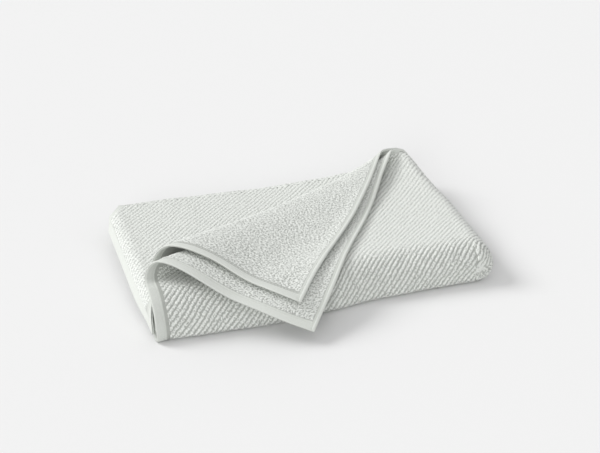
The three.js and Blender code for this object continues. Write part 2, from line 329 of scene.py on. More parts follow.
def turn_corner(layer, x, v, out):
    crease = CREASE[layer]
    cornerward, share = from_crease(crease, x, v)
    inner = three(ROLL_RADIUS, share)
    radius = inner if layer == 1 else inner + three(ROLL_WIDER, share)
    angle = np.clip(cornerward / radius, 0, math.pi)
    past = np.maximum(cornerward - math.pi * radius, 0)
    shift = np.where(cornerward > 0, (radius - out) * np.sin(angle) - past - cornerward, 0)
    x = x + shift * crease["dv"]
    v = v - shift * crease["dx"]
    now, share = from_crease(CREASE[1], x, v)
    rolled = radius - (radius - out) * np.cos(angle) - out
    under = three(ROLL_RADIUS, share)
    settled = smooth(np.maximum(-now, 0) / mix(*SETTLES, np.clip(share, 0, 1)))
    lying = mix(2 * under, PITCH, settled) - 2 * out
    if layer == 2:
        lying = lying + PITCH * (1 + settled) + (2 * (radius - under) - PITCH) * (1 - settled)
    return x, v, np.where(angle >= math.pi, lying, rolled), angle, now, share


def loop_lift(angle, now, share):
    """Extra height of the open loops at both ends of the crease."""
    length = CREASE[1]["length"]
    spread = np.where(angle > LIFT["over_the_top"], LIFT["above"], LIFT["below"])
    across = np.exp(-((np.maximum(now, 0) / LIFT["beyond"]) ** 2) - (np.minimum(now, 0) / spread) ** 2)
    right = LIFT["right"] * bell(np.maximum(1 - share, 0) * length, LIFT["right_reach"])
    left = LIFT["left"] * bell(np.maximum(share, 0) * length, LIFT["left_reach"])
    return (right + left) * across


print("creases, mm:", [round(crease["length"]) for crease in CREASE.values()])

# %% [markdown]
# ## The last fold and the droop
#
# The last fold in half goes round the right-hand end. At the left end the middle layers droop over
# those below them. The two are one function, because both bend the cloth along its length.

# %% Last fold
def outer_fold(x, up, drooping, nearness):
    angle = math.pi * np.clip((x - TURN_START) / TURN_LENGTH, 0, 1)
    back = np.maximum(x - TURN_END, 0)
    radius = TURN_RADIUS + up
    px = np.minimum(x, TURN_START) - back - HALF_LENGTH + radius * np.sin(angle)
    pz = MID_HEIGHT + radius * np.cos(angle)
    beyond = np.maximum(DROOP["start"] - x, 0)
    most = mix(DROOP["turn"], DROOP["near_turn"], nearness)
    tilt = np.minimum(beyond / DROOP["radius"], most)
    straight = np.maximum(beyond - DROOP["radius"] * most, 0)
    centre = PITCH / 2 - DROOP["radius"]
    radius = up - centre
    over = drooping & (beyond > 0)
    droop_x = DROOP["start"] - HALF_LENGTH - radius * np.sin(tilt) - straight * np.cos(tilt)
    droop_z = MID_HEIGHT + TURN_RADIUS + centre + radius * np.cos(tilt) - straight * np.sin(tilt)
    return np.where(over, droop_x, px), np.where(over, droop_z, pz), angle


print("the last fold ends at, mm:", round(TURN_END, 1))

# %% [markdown]
# The whole packet is then made a little uneven, as the real one is, by moving every point by a small
# amount that depends only on where it lies.

# %% Unevenness of the packet
def soft_table(x, values):
    """Values along the towel, run through smoothly."""
    i = np.clip(np.searchsorted(ALONG, x) - 1, 0, len(ALONG) - 2)
    at, value = np.array(ALONG, float), np.array(values, float)
    return mix(value[i], value[i + 1], smooth((x - at[i]) / (at[i + 1] - at[i])))


def unevenness(x, y, z):
    farness = np.clip((y - BACK_PART[0]) / (BACK_PART[1] - BACK_PART[0]), 0, 1)
    rightness = np.clip((x - FAR_RIGHT["start"]) / (FAR_RIGHT["end"] - FAR_RIGHT["start"]), 0, 1)
    return np.stack([
        x - FAR_RIGHT["inward"] * farness * rightness,
        y - smooth(-y / NEAR_PART) * soft_table(x, NEAR),
        z * (1 - smooth(farness) * soft_table(x, SUNK)),
    ], -1)


print("near side in the middle, mm:", soft_table(np.array([0.0]), NEAR))

# %% [markdown]
# ## From the flat cloth to the folded towel
#
# Everything seen is placed by this one function: the ground, the pile and the stitches. It rolls the
# corner back first, while the cloth is flat, then folds in thirds and then in half. On the real towel
# the corner comes last, but a roll is easier to work out on flat cloth.

# %% Place of any point of the cloth
def place(layer, x, v, out, above=None, drooping=False):
    """Where a point lies, in mm: x from the left end, v across, out above the middle of its layer."""
    x, v, out = (np.array(a, float) for a in np.broadcast_arrays(x, v, out))
    if above is None:
        above = (PITCH / 2 if layer == 1 else -PITCH / 2) + out
    from_edge = np.minimum(x - TURNED[layer]["hem"], v - TURNED[layer]["selvedge"])
    x, v, height, angle, now, share = turn_corner(layer, x, v, out)
    raised = (EDGE_RAISED[layer] * bell(from_edge, RAISED["over"])
              * smooth((-now - RAISED["start"]) / RAISED["rises"]))
    height = above + height + raised
    if layer == 1:
        spread = np.exp(-((from_edge / FLARE["from_edge"]) ** 2) - (now / FLARE["from_crease"]) ** 2)
        x = x + FLARE["by"] * spread * smooth((share - FLARE["start"]) / FLARE["over"])
    y, up = follow(LETTER_START, letter_fold(x), v, height)
    bent = (FLAP["radius"] * FLAP["turn"], FLAP["turn"])
    flap = [(BACK_LINE - FLAP["start"], 0), bent, (FLAP["beyond"], 0)]
    flap_y, flap_up = follow(LETTER_START, flap, v, height)
    over = smooth(angle / math.pi)
    nearness = smooth((-y - DROOP["near_from"]) / DROOP["near_over"])
    px, pz, turn = outer_fold(x, mix(up, flap_up, over), drooping, nearness)
    on_top = np.clip(pz / (2 * MID_HEIGHT), 0, 1)
    lift = loop_lift(angle, now, share) * on_top * smooth(1 - turn / 2)
    return unevenness(px, mix(y, flap_y, over), pz + lift)


print("tip of the turned corner, mm:", np.round(place(1, [TURNED[1]["hem"]], [TURNED[1]["selvedge"]], 0)))

# %% [markdown]
# ## The woven ground
#
# The ground is the whole cloth as one closed thin sheet, with rounded edges. It carries the smooth
# woven bands of the end hems and the narrow rolled hems along the selvedges. A modifier could
# thicken a bare sheet, but these hems differ in thickness, so both faces are laid out as points.

# %% Sizes of the hems
HALF = 1.1
EDGE = 1.3
HEM_BAND = 9.8
HEM_SEWN_AT = 8.6
HEM_THICKER = 0.12
SELVEDGE_BAND = 5.0
SEWN_AT = 4.1
ROLLED_HALF = 1.65
ROLLED_BEYOND = 0.2
BAND_FADES = 0.6
SEAM_DIP = dict(side=0.35, hem=0.2, width=0.7)
THINNEST = 0.15
EDGE_THINNEST = 0.02
print("hems, mm:", HEM_BAND, "and", SELVEDGE_BAND)

# %% [markdown]
# Columns along the cloth and rows across it say where its points lie: close together at the hems
# and round the folds, and far apart where it lies flat.

# %% Stations along and across the cloth
EDGE_STEPS = [0, 0.25, 0.7, 1.3, 2.0]
HEM_COLUMNS = [7.4, 8.0, HEM_SEWN_AT, 9.2, HEM_BAND, HEM_BAND + 1]
SELVEDGE_ROWS = (2.8, 3.4, SEWN_AT, 4.7, SELVEDGE_BAND, 5.8, 6.6)
COLUMN_STEPS = dict(hem=2, flat=4.5, turn=4.3, lower=14, first_fold=0.9)
# From row, to row, step.
ROW_STEPS = ((1, 2, 0.15), (2, 3, 0.1), (3, 4, 0.34), (4, 5, 0.25), (5, 6, 0.1),
             (6, 7, 0.125), (7, 7.1, 0.05), (7.1, 7.96, 0.06))
FIRST_ROW_LENGTH = CORNER_ROWS - 2
FIRST_ROW_STEP = 0.025
PAST_EDGE, PAST_HEM, PAST_SELVEDGE = 3.5, HEM_BAND + 3, 8


def steps(start, end, size):
    count = max(1, round((end - start) / size))
    return list(np.linspace(start, end, count + 1)[:-1])


half_columns = (EDGE_STEPS + steps(PAST_EDGE, HEM_COLUMNS[0], COLUMN_STEPS["hem"]) + HEM_COLUMNS
                + steps(PAST_HEM, TURN_START, COLUMN_STEPS["flat"])
                + steps(TURN_START, TURN_END, COLUMN_STEPS["turn"])
                + steps(TURN_END, FIRST_FOLD, COLUMN_STEPS["lower"]))
fold_columns = steps(FIRST_FOLD, WHOLE_LENGTH - FIRST_FOLD, COLUMN_STEPS["first_fold"])
columns = np.array(half_columns + fold_columns + [WHOLE_LENGTH - FIRST_FOLD]
                   + [WHOLE_LENGTH - column for column in reversed(half_columns)])
rows = [distance / FIRST_ROW_LENGTH for distance in (*EDGE_STEPS, *SELVEDGE_ROWS)]
rows += steps(PAST_SELVEDGE / FIRST_ROW_LENGTH, 1, FIRST_ROW_STEP)
for first, last, size in ROW_STEPS:
    rows += steps(first, last, size)
rows = np.array(rows + [LAST_ROW - distance / MIDDLE_WIDTH for distance in reversed(EDGE_STEPS)])
print("stations:", len(columns), "along,", len(rows), "across")

# %% [markdown]
# Each station is a point on the upper or lower face. In the middle of the cloth the first fold turns
# the two layers into one another.

# %% Points of the ground
def ground_point(column, row, side, half):
    bend = math.pi * np.clip((column - FIRST_FOLD) / FIRST_LENGTH, 0, 1)
    x0 = np.minimum(np.minimum(column, FIRST_FOLD), WHOLE_LENGTH - column)
    result = np.empty((len(column), 3))
    for layer in TURNED:
        mine = (bend > math.pi / 2) == (layer == 1)
        c, r, b, h = x0[mine], row[mine], bend[mine], half[mine]
        hem = np.interp(r, HEM_ROWS, HEM_OUTER if layer == 1 else HEM_INNER)
        x = np.where(c < HEM_BLEND, hem + c * (HEM_BLEND - hem) / HEM_BLEND, c)
        v = width_at(r, x, layer)
        radius = FIRST_RADIUS + side * h
        out = side * h if layer == 1 else -side * h
        droops = r > DROOP["first_row"]
        result[mine] = place(layer, x + radius * np.sin(b), v, out, -radius * np.cos(b), droops)
    return result


column_of, row_of = (a.ravel() for a in np.meshgrid(columns, rows, indexing="ij"))
from_hem = np.minimum(column_of, WHOLE_LENGTH - column_of)
from_side = np.minimum(row_of * FIRST_ROW_LENGTH, (LAST_ROW - row_of) * MIDDLE_WIDTH)
print("points on one face:", len(column_of))

# %% [markdown]
# The hems of the real towel are turned in, so they are thicker than the ground, and pressed down
# along their seams. The selvedge hems are narrow and round. The thickness carries all of that.

# %% Thickness of the ground
edge = np.minimum(from_hem, from_side)
hem_share = 1 - smooth((from_hem - HEM_BAND) / BAND_FADES)
side_share = 1 - smooth((from_side - SELVEDGE_BAND) / BAND_FADES)
sewn_down = (SEAM_DIP["side"] * bell(from_side - SEWN_AT, SEAM_DIP["width"])
             + SEAM_DIP["hem"] * bell(from_hem - HEM_SEWN_AT, SEAM_DIP["width"]))
rounded = np.sqrt(np.clip(1 - (1 - np.clip(edge / EDGE, 0, 1)) ** 2, EDGE_THINNEST, 1))
half = (HALF + HEM_THICKER * hem_share - sewn_down) * rounded
from_roll = (from_side - SEWN_AT / 2) / (SEWN_AT / 2 + ROLLED_BEYOND)
rolled = ROLLED_HALF * np.sqrt(np.clip(1 - from_roll ** 2, 0, 1))
beside_roll = np.where(from_side < SEWN_AT / 2, THINNEST, half)
half = np.where(edge == from_side, np.maximum(rolled, beside_roll), half)
print("half thickness, mm, from and to:", np.round([half.min(), half.max()], 2))

# %% [markdown]
# A mesh is made straight from arrays of points, which is the quickest way to build a large regular
# grid, and the faces are drawn smooth.

# %% Mesh from arrays
link_object = bpy.context.scene.collection.objects.link


def mesh_object(name, points, faces):
    mesh = bpy.data.meshes.new(name)
    mesh.from_pydata(points.tolist(), [], faces.tolist())
    mesh.validate()
    mesh.polygons.foreach_set("use_smooth", np.ones(len(mesh.polygons), bool))
    mesh.update()
    obj = bpy.data.objects.new(name, mesh)
    link_object(obj)
    return obj


def grid_faces(ni, nj, keep=None):
    i, j = np.meshgrid(np.arange(ni - 1), np.arange(nj - 1), indexing="ij")
    a = (i * nj + j).ravel()
    faces = np.stack([a, a + nj, a + nj + 1, a + 1], -1)
    if keep is not None:
        faces = faces[keep.ravel()[faces].all(1)]
    return faces


print("faces of a small grid:", len(grid_faces(3, 3)))

# %% [markdown]
# ## Building the ground
#
# Two faces and the walls round their rim make one closed sheet. Nothing may lie under the surface on
# which the towel rests, so points are kept at or above it, and the sheet is centred on the solid.

# %% Build the ground
count = len(column_of)
ni, nj = len(columns), len(rows)
faces = grid_faces(ni, nj)
rim = np.concatenate([np.arange(nj), np.arange(1, ni) * nj + nj - 1,
                      (ni - 1) * nj + np.arange(nj - 2, -1, -1), np.arange(ni - 2, 0, -1) * nj])
rim_next = np.roll(rim, -1)
walls = np.stack([rim, rim_next, rim_next + count, rim + count], -1)
shell = np.concatenate([faces[:, ::-1], faces + count, walls])
points_mm = np.concatenate([ground_point(column_of, row_of, side, half) for side in (1, -1)])
points_mm[:, 2] = np.maximum(points_mm[:, 2], 0)
middle = (points_mm.min(0) + points_mm.max(0)) / 2
cad_middle = (low + high) / 2 * 1000
shift = np.array([cad_middle[0] - middle[0], cad_middle[1] - middle[1], 0])


def in_metres(points):
    return (points + shift) / 1000


ground = mesh_object("towel_ground", in_metres(points_mm), shell)
print("ground, mm:", np.round(points_mm.max(0) - points_mm.min(0), 1), "triangles:", 2 * len(shell))

# %% [markdown]
# The finish has to know where the hems are and how the threads run. Both are written on the points
# of the sheet, so they follow the cloth through all its folds. Flat coordinates wouldn't.

# %% Where the hems are and how the threads run
# Away from the hem bands the finish paints the ground darker, as shade.
band = ground.data.attributes.new("band", "FLOAT", "POINT")
band.data.foreach_set("value", np.tile(np.maximum(hem_share, side_share), 2).astype(np.float32))
woven = ground.data.attributes.new("woven", "FLOAT_VECTOR", "POINT")
signed_side = np.where(row_of < LAST_ROW / 2, from_side, -from_side)
threads = np.stack([column_of, signed_side, 0 * column_of], -1)
woven.data.foreach_set("vector", np.tile(threads, (2, 1)).astype(np.float32).ravel())
print("kept on the ground:", band.name, woven.name)

# %% [markdown]
# ## The looped pile
#
# The pile stands about a millimetre proud of the ground and lies in slanting ribs on the outer face,
# and in plain close loops on the other. Thousands of single loops could be scattered, but at this
# height they merge into a lumpy skin, so each exposed face gets a skin whose height is the rib
# pattern plus a random grain as fine as the loops.

# %% Rib pattern and loop grain
RIB_PITCH = 4.2
GROOVE = 1.0
LOOP_GRAIN = 2.3
LOOP_HEIGHT = 0.6
LOOP_SPREAD = 0.5
TUFT = 4.4
TUFT_SPREAD = 0.35
GROOVE_SHARPNESS = 5
GRID = 0.8


def grain(shape, size, spread, grid):
    """Random lumps about size apart, from -1 to 1, on points about grid apart."""
    fx = np.fft.fftfreq(shape[0], grid)[:, None]
    fy = np.fft.fftfreq(shape[1], grid)[None]
    ring = bell(np.hypot(fx, fy) * size - 1, spread)
    lumps = np.fft.ifft2(np.fft.fft2(rng.standard_normal(shape)) * ring).real
    return np.clip(lumps / lumps.std() / 2, -1, 1)


def ribs(phase, wander):
    """Broad ribs with narrow grooves between them, from 0 in the groove to 1."""
    wave = 0.5 + 0.5 * np.cos(2 * math.pi * phase / RIB_PITCH + wander)
    return 1 - (1 - wave) ** GROOVE_SHARPNESS


print("height of a rib's side:", np.round(ribs(np.array([0, 0.3, 0.5]) * RIB_PITCH, 0), 2))

# %% [markdown]
# The height of the pile is worked out on the flat cloth. The ribs of the real towel wander a little,
# by a slow drift and a quicker shake, and the pile gets shorter at its edges, where the hems begin.

# %% Height of the pile
WANDER = dict(slow=0.9, slow_size=45, quick=0.35, quick_size=9, spread=0.5)
RIB_MEAN = 0.8
PILE_EDGE = dict(width=1.6, down=0.5)


def taper(distance):
    """Pile height share, rising from nothing at the edge of the pile."""
    return smooth(distance / PILE_EDGE["width"])


def height_of(x, rib_share, phase, edge_distance, open_=1.0, tufts=0.2, grid=GRID):
    """Height of the pile about its mean, in mm: grooves, single loops and broader tufts."""
    slow = WANDER["slow"] * grain(x.shape, WANDER["slow_size"], WANDER["spread"], grid)
    quick = WANDER["quick"] * grain(x.shape, WANDER["quick_size"], WANDER["spread"], grid)
    loops = LOOP_HEIGHT * grain(x.shape, LOOP_GRAIN, LOOP_SPREAD, grid)
    loops = loops + tufts * grain(x.shape, TUFT, TUFT_SPREAD, grid)
    full = open_ * (rib_share * GROOVE * (ribs(phase, slow + quick) - RIB_MEAN) + loops)
    return full * taper(edge_distance) - PILE_EDGE["down"] * (1 - taper(edge_distance))


print("the pile gets shorter over, mm:", PILE_EDGE["width"])

# %% [markdown]
# A skin is a grid of points on one face of one layer, raised by the pile and folded with the cloth.
# Its height is also kept on the points, so that the finish can paint shade between the loops.

# %% Skins of pile
PILE_BASE = 1.35
PILE_LOWEST = 0.15
PILE_SHADE = 0.82
OVERLAP = 0.5
pile_pieces = []


def pile_skin(name, layer, face, pile, keep, rise, drooping=False, reshape=None):
    """A lumpy skin over part of one face, +1 or -1 in the direction of out. A large one is split."""
    x, v = np.meshgrid(np.arange(*pile["along"]), np.arange(*pile["across"]), indexing="ij")
    true_v = v
    if "first_row" in pile:
        true_v = v + width_ends(x.ravel(), layer)[pile["first_row"]].reshape(x.shape)
    height = rise(x, v)
    out = face * (PILE_BASE + height)
    points = place(layer, x.ravel(), true_v.ravel(), out.ravel(), drooping=drooping)
    points = points.reshape(x.shape + (3,))
    if reshape is not None:
        points, height = reshape(x, true_v, points, height)
    points[..., 2] = np.maximum(points[..., 2], PILE_LOWEST)
    faces = grid_faces(*x.shape, keep(x, v))
    if face < 0:
        faces = faces[:, ::-1]
    beyond = v.ravel()[faces[:, 0]] >= pile.get("split", math.inf)
    parts = {name: faces[~beyond]}
    if beyond.any():
        parts[name + "_near"] = faces[beyond]
    for part_name, part_faces in parts.items():
        used, part_faces = np.unique(part_faces, return_inverse=True)
        obj = mesh_object(part_name, in_metres(points.reshape(-1, 3)[used]), part_faces.reshape(-1, 4))
        # The kept height drives painted shade: where the pile is low, between the loops, its colour is
        # darker.
        depth = obj.data.attributes.new("pile", "FLOAT", "POINT")
        depth.data.foreach_set("value", np.clip(PILE_SHADE + height.ravel()[used], 0, 1).astype(np.float32))
        pile_pieces.append(obj)
        print(part_name, "triangles:", 2 * len(obj.data.polygons))


print("pile starts above the middle of the layer by, mm:", PILE_BASE)

# %% [markdown]
# ## Pile of the top layer
#
# It covers the top, comes down the near side and goes round the right-hand end. There the loose cloth
# of the real towel is drawn flat over the hollow of the turn, so the skin is drawn to the nearest
# line in front of it instead of following the hollow.

# %% Drawing the near-right corner flat
DRAWN = dict(start=3, over=4, depth=1.2, off=0.7, axis=14, stretched=0.8, stretched_over=4,
             stretched_from=205, stretched_rises=10)


def on_outside(x, v):
    """The even outside of the top layer, without its pile pattern."""
    return place(1, x.ravel(), v.ravel(), np.full(x.size, PILE_BASE)).reshape(x.shape + (3,))


def near_corner(x, v, points, height):
    """Draws the loose outer cloth flat over the hollow of the turn. Returns points and height."""
    even = on_outside(x, v)
    front = np.minimum.accumulate(even[..., 1], axis=1)
    share = (smooth((x - TURN_START + DRAWN["start"]) / DRAWN["over"])
             * smooth((even[..., 1] - front) / DRAWN["depth"]))
    from_axis = np.hypot(even[..., 0] + HALF_LENGTH - TURN_START, even[..., 2] - MID_HEIGHT)
    stretched = (bell(x - TURN_START, DRAWN["stretched_over"])
                 * smooth((v - DRAWN["stretched_from"]) / DRAWN["stretched_rises"]))
    height = height * smooth(from_axis / DRAWN["axis"]) * (1 - DRAWN["stretched"] * stretched)
    flat = np.stack([even[..., 0], front - DRAWN["off"] - height, even[..., 2]], -1)
    return mix(points, flat, share[..., None]), height


print("the corner is drawn flat from, mm:", TURN_START - DRAWN["start"])

# %% [markdown]
# The ribs run at 45 degrees along the cloth. On the near face of the turn they would bunch up round
# its axis, so there they go on in line with those beside it, as they seem to on the real towel.

# %% Ribs of the top layer
STRAIGHT = dict(start=4, over=6, from_y=88, over_y=12, beside=8, fall_from=150.0, fall_to=290.0)


def arc_true(x):
    """Length along the outside of the right-hand turn."""
    outside = TURN_START + (x - TURN_START) * TURN_OUTSIDE_RADIUS / TURN_MIDDLE_RADIUS
    return np.where(x > TURN_START, outside, x)


def slanting(x, v):
    """Distance across the ribs. On the near face of the turn they go on in line with those beside it."""
    regular = arc_true(x) + v
    even = on_outside(x, v)
    beside = np.arange(STRAIGHT["fall_from"], STRAIGHT["fall_to"])
    beside_x = np.full(beside.size, TURN_START - STRAIGHT["beside"])
    fall = place(1, beside_x, beside, np.full(beside.size, PILE_BASE))[:, 2]
    order = np.argsort(fall)
    straight = even[..., 0] + HALF_LENGTH + np.interp(even[..., 2], fall[order], beside[order])
    share = (smooth((x - TURN_START + STRAIGHT["start"]) / STRAIGHT["over"])
             * smooth((-even[..., 1] - STRAIGHT["from_y"]) / STRAIGHT["over_y"]))
    return mix(regular, straight, share) / math.sqrt(2)


print("outside of the turn, mm:", round(float(arc_true(TURN_END)) - TURN_START, 1))

# %% [markdown]
# Where the cloth is bent, down the near side and round the end, the loops spread and the ribs open
# up. On the flat top they lie closed and show less.

# %% Pile of the top layer
TOP_PILE = dict(rib=0.75, rib_bent=0.35, open=0.68, open_bent=0.65, bent_from=185, bent_over=30,
                turn_from=8, turn_over=12, in_loop=17, split=160,
                along=(15, TURN_END + 8, GRID), across=(9, 292, GRID))
TOP_HEM = dict(across=(0, 200, 240), stands=(2, 2, 4))


def top_hem_end(v):
    """Where the end hem of the top layer stops."""
    return np.interp(v, TOP_HEM["across"], TOP_HEM["stands"]) + HEM_BAND


def cornerward(layer, x, v):
    return from_crease(CREASE[layer], x, v)[0]


def top_rise(x, v):
    edge_distance = np.minimum(x - top_hem_end(v), v - TURNED[1]["selvedge"] - SELVEDGE_BAND)
    bent = np.maximum(smooth((v - TOP_PILE["bent_from"]) / TOP_PILE["bent_over"]),
                      smooth((x - TURN_START - TOP_PILE["turn_from"]) / TOP_PILE["turn_over"]))
    rib_share = TOP_PILE["rib"] + TOP_PILE["rib_bent"] * bent
    open_ = TOP_PILE["open"] + TOP_PILE["open_bent"] * bent
    return height_of(x, rib_share, slanting(x, v), edge_distance, open_)


def top_keep(x, v):
    foot_end = sum(length for length, _ in letter_fold(x.ravel())[:4]).reshape(x.shape)
    shows = (cornerward(1, x, v) < TOP_PILE["in_loop"]) & (x > top_hem_end(v) - OVERLAP)
    return shows & ((x < TURN_START) | (v < foot_end))


pile_skin("pile_top", 1, 1, TOP_PILE, top_keep, top_rise, reshape=near_corner)

# %% [markdown]
# ## Pile of the middle third
#
# It shows behind the turned corner, up to the far fold, and over the drooping left end. It could be
# one skin with the top, but the cloth between them is out of sight, so two skins are lighter.

# %% Pile of the middle third
MIDDLE_PILE = dict(first_row=7, rib=0.75, open=0.75, under_flap=-14, flap_shift=6,
                   along=(-8, TURN_START + 20, GRID), across=(0, 190, GRID))


def middle_hem_end(v):
    """Where the end hem of the drooping middle layer stops and its pile begins."""
    hem = np.interp(MIDDLE_PILE["first_row"] + v / MIDDLE_WIDTH, HEM_ROWS, HEM_OUTER)
    return hem + HEM_BAND * (1 - hem / HEM_BLEND)


def middle_rise(x, v):
    edge_distance = np.minimum(x - middle_hem_end(v), MIDDLE_WIDTH - SELVEDGE_BAND - v)
    return height_of(x, MIDDLE_PILE["rib"], (x + v) / math.sqrt(2), edge_distance, MIDDLE_PILE["open"])


def middle_keep(x, v):
    shows = cornerward(2, x, v + MIDDLE_PILE["flap_shift"]) > MIDDLE_PILE["under_flap"]
    return shows & (x > middle_hem_end(v) - OVERLAP)


pile_skin("pile_middle", 1, 1, MIDDLE_PILE, middle_keep, middle_rise, drooping=True)

# %% [markdown]
# ## Pile of the turned corner
#
# The turned corner shows the other face of the cloth: the whole outer flap and two strips of the
# inner one, along its hem and along its selvedge. This face has plain loops, with hardly any ribs.

# %% Pile of the turned corner
OUTER_FLAP = dict(rib=0.16, open=1.2, tufts=0.25, past_crease=-4, ends=(372, 182))
INNER_FLAP = dict(open=1.1, tufts=0.25, past_crease=-6, ends=(368, 196), hem_strip=80,
                  selvedge_strip=62)


def from_turned_edges(layer, x, v):
    """Distance from the nearer hem of a turned layer to where its pile begins."""
    turned = TURNED[layer]
    return np.minimum(x - turned["hem"] - HEM_BAND, v - turned["selvedge"] - SELVEDGE_BAND)


def turned_pile(layer, along_end, across_end):
    """Where the pile of a turned layer starts, beside its two hems, and where it ends."""
    return dict(along=(TURNED[layer]["hem"] + HEM_BAND - OVERLAP, along_end, GRID),
                across=(TURNED[layer]["selvedge"] + SELVEDGE_BAND - OVERLAP, across_end, GRID))


def outer_flap_rise(x, v):
    return height_of(x, OUTER_FLAP["rib"], (x - v) / math.sqrt(2), from_turned_edges(2, x, v),
                     OUTER_FLAP["open"], OUTER_FLAP["tufts"])


def outer_flap_keep(x, v):
    return cornerward(2, x, v) > OUTER_FLAP["past_crease"]


def inner_flap_rise(x, v):
    return height_of(x, 0.0, x, from_turned_edges(1, x, v), INNER_FLAP["open"], INNER_FLAP["tufts"])


def inner_flap_keep(x, v):
    strips = (x < INNER_FLAP["hem_strip"]) | (v < INNER_FLAP["selvedge_strip"])
    return (cornerward(1, x, v) > INNER_FLAP["past_crease"]) & strips


pile_skin("pile_flap_outer", 2, -1, turned_pile(2, *OUTER_FLAP["ends"]), outer_flap_keep, outer_flap_rise)
pile_skin("pile_flap_inner", 1, -1, turned_pile(1, *INNER_FLAP["ends"]), inner_flap_keep, inner_flap_rise)

# %% [markdown]
# ## Pile of the far side and of the lower half
#
# These sides could be left bare, but a towel is seen from behind and lifted too. They are seen less,
# so their points lie further apart.

# %% Pile of the far side and of the lower half
FAR_GRID, BELOW_GRID = 1.5, 2.0
FAR_HEM_END = HEM_OUTER[HEM_ROWS.index(6)] + HEM_BAND
FAR_PILE = dict(first_row=6, rib=0.95, along=(FAR_HEM_END - OVERLAP, FIRST_FOLD, FAR_GRID),
                across=(-12, 14, 1.0))
BELOW_PILE = dict(rib=0.95, lower=0.5, along=(TURN_END + 6, FIRST_FOLD, BELOW_GRID),
                  across=(10, 275, BELOW_GRID))


def far_rise(x, v):
    return height_of(x, FAR_PILE["rib"], (x + v) / math.sqrt(2), x - FAR_HEM_END, grid=FAR_GRID)


def below_rise(x, v):
    edge_distance = np.minimum(v - TURNED[1]["selvedge"] - SELVEDGE_BAND, x)
    height = height_of(x, BELOW_PILE["rib"], (x + v) / math.sqrt(2), edge_distance, grid=BELOW_GRID)
    return height - BELOW_PILE["lower"]


def whole(x, v):
    return x > 0


pile_skin("pile_far", 1, 1, FAR_PILE, whole, far_rise)
pile_skin("pile_below", 1, 1, BELOW_PILE, whole, below_rise)

# %% [markdown]
# ## Stitches of the hems
#
# The hems are turned in and sewn down. Each stitch is a short raised thread in a shallow dip of the
# hem, on the side that shows. A bump in the finish could hint at them, but real threads cast shadows.
# They are laid on the flat cloth and then folded with it, like the rest.

# %% Rows of stitches
SIDE_STITCH = dict(spacing=3.7, half_length=1.45, thickness=0.34)
HEM_STITCH = dict(spacing=3.1, half_length=1.2, thickness=0.26)
THREAD = dict(around=6, along=5, above=0.02, proud=0.25, full=1.02, tip=0.03)


def stitch_row(layer, face, line, fixed, start, end, stitch):
    """Threads along a line of the cloth. line is "x" or "v", the direction in which the row runs."""
    centres = np.arange(start, end, stitch["spacing"])
    along = np.linspace(-1, 1, THREAD["along"])
    around = np.arange(THREAD["around"]) * 2 * math.pi / THREAD["around"]
    c, a, r = np.meshgrid(centres, along, around, indexing="ij")
    radius = stitch["thickness"] * np.sqrt(np.clip(THREAD["full"] - a * a, THREAD["tip"], 1))
    running = c + a * stitch["half_length"]
    beside = fixed + radius * np.cos(r)
    out = face * (HALF + THREAD["above"] + THREAD["proud"] * stitch["thickness"] + radius * np.sin(r))
    x, v = (running, beside) if line == "x" else (beside, running)
    points = place(layer, x.ravel(), v.ravel(), out.ravel())
    points[:, 2] = np.maximum(points[:, 2], 0)
    return points, thread_faces(len(centres))


def thread_faces(number):
    """Faces of a number of threads, one after another."""
    ring = THREAD["around"]
    base = (np.arange(number) * THREAD["along"] * ring)[:, None, None]
    i, j = np.meshgrid(np.arange(THREAD["along"] - 1), np.arange(ring), indexing="ij")
    k = (j + 1) % ring
    quad = np.stack([i * ring + j, (i + 1) * ring + j, (i + 1) * ring + k, i * ring + k], -1)
    return (base + quad.reshape(1, -1, 4)).reshape(-1, 4)


print("longest stitch, mm:", 2 * SIDE_STITCH["half_length"])

# %% [markdown]
# Five rows show: along the two selvedges and the two hems of the turned corner, and down the hem of
# the near side.

# %% Sew the hems
rows_of_stitches = [
    stitch_row(1, -1, "x", TURNED[1]["selvedge"] + SEWN_AT, 3.5, 356, SIDE_STITCH),
    stitch_row(2, -1, "x", TURNED[2]["selvedge"] + SEWN_AT, 16.2, 356, SIDE_STITCH),
    stitch_row(1, -1, "v", TURNED[1]["hem"] + HEM_SEWN_AT, 7.5, 196, HEM_STITCH),
    stitch_row(2, -1, "v", TURNED[2]["hem"] + HEM_SEWN_AT, 4.5, 186, HEM_STITCH),
    stitch_row(1, 1, "v", TURNED[1]["hem"] + HEM_SEWN_AT, 196, 268, HEM_STITCH),
]
all_points, all_faces, start_at = [], [], 0
for row_points, row_faces in rows_of_stitches:
    all_points.append(row_points)
    all_faces.append(row_faces + start_at)
    start_at += len(row_points)
stitches = mesh_object("hem_stitches", in_metres(np.concatenate(all_points)), np.concatenate(all_faces))
print("stitches:", start_at // (THREAD["around"] * THREAD["along"]))

# %% [markdown]
# ## Finishes
#
# The cloth is pale grey-green cotton: no gloss, a soft sheen from the fibres standing up, and a fine
# grain. All finishes share one dull cloth shader, with a fine noise for the fibres. Nothing depends
# on where the camera stands.

# %% Cotton
COTTON = (0.85, 0.872, 0.835, 1)
# The deep pile colour is painted shade between the loops, mixed with a fine fibre grain.
COTTON_PAINTED_SHADE_AND_GRAIN = (0.05, 0.056, 0.046, 1)
HEM_COTTON = (0.72, 0.742, 0.705, 1)
HEM_DEEP = (0.62, 0.643, 0.60, 1)
# The ground colour is painted shade, for ground seen between loops or inside a fold.
GROUND_PAINTED_SHADE = (0.46, 0.475, 0.445, 1)
THREAD_COTTON = (0.74, 0.76, 0.72, 1)
DULL = {"Roughness": 0.95, "Specular IOR Level": 0.2, "Sheen Weight": 0.15, "Sheen Roughness": 0.6}
BUMP_STRENGTH = 0.6
FIBRE_DETAIL = 3
FIRST_COLOR, SECOND_COLOR, MIXED_COLOR = 6, 7, 2


def put(node, values):
    """Sets constant values on a node's own sockets."""
    for socket, value in values.items():
        node.inputs[socket].default_value = value


